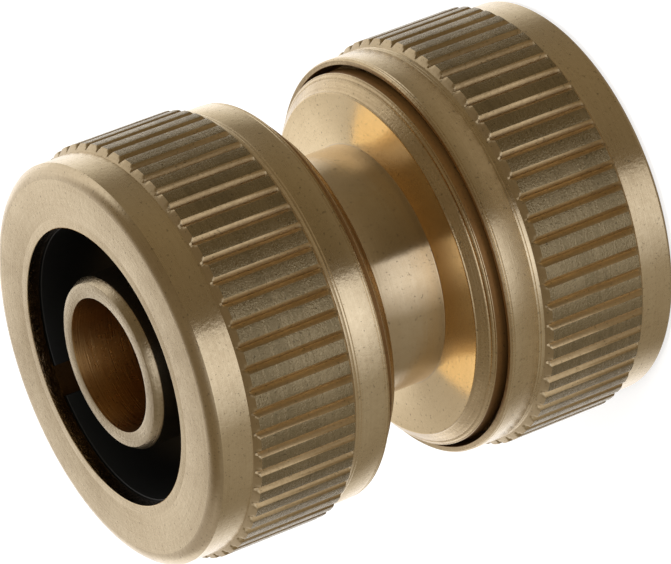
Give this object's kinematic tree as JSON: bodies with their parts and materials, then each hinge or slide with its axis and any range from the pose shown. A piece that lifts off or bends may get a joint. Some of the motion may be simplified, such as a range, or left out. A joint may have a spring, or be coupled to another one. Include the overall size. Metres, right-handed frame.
{
  "type": "hose connector",
  "caption": "Turned brass hose mender: a knurled union nut at each end drives a split plastic cone ring that clamps the hose on its tail.",
  "frame": {"origin": "centre of the lower nut's flat end face, on which the connector stands; it is the middle of the bottom of the bounding box", "axes": "+Z along the hose axis towards the upper nut, which is the end nearest the camera in the picture; the camera looks from the -Y side"},
  "size_m": [0.031, 0.031, 0.039],
  "materials": {
    "body_brass": "turned, satin, with rough turned shoulders",
    "nut_brass": "turned and straight knurled, satin",
    "ring_plastic": "smooth black moulding"
  },
  "bodies": {
    "hose_body": {"body": "body_brass"},
    "top_ring": {"clamp_ring_top": "ring_plastic"},
    "top_nut": {"union_nut_top": "nut_brass"},
    "bottom_ring": {"clamp_ring_bottom": "ring_plastic"},
    "bottom_nut": {"union_nut_bottom": "nut_brass"}
  },
  "joints": [
    {"name": "top_travel", "type": "slide", "parent": "hose_body", "child": "top_ring", "axis": [0, 0, 1], "range_m": [0, 0.0053]},
    {"name": "top_turn", "type": "hinge", "parent": "top_ring", "child": "top_nut", "pos_m": [0, 0, 0.039], "axis": [0, 0, 1], "range_deg": [0, 1260]},
    {"name": "bottom_travel", "type": "slide", "parent": "hose_body", "child": "bottom_ring", "axis": [0, 0, -1], "range_m": [0, 0.0053]},
    {"name": "bottom_turn", "type": "hinge", "parent": "bottom_ring", "child": "bottom_nut", "pos_m": [0, 0, 0], "axis": [0, 0, -1], "range_deg": [0, 1260]}
  ],
  "couplings": [
    {"joint": "top_travel", "follows": "top_turn", "m_per_rad": 0.00023873},
    {"joint": "bottom_travel", "follows": "bottom_turn", "m_per_rad": 0.00023873}
  ]
}
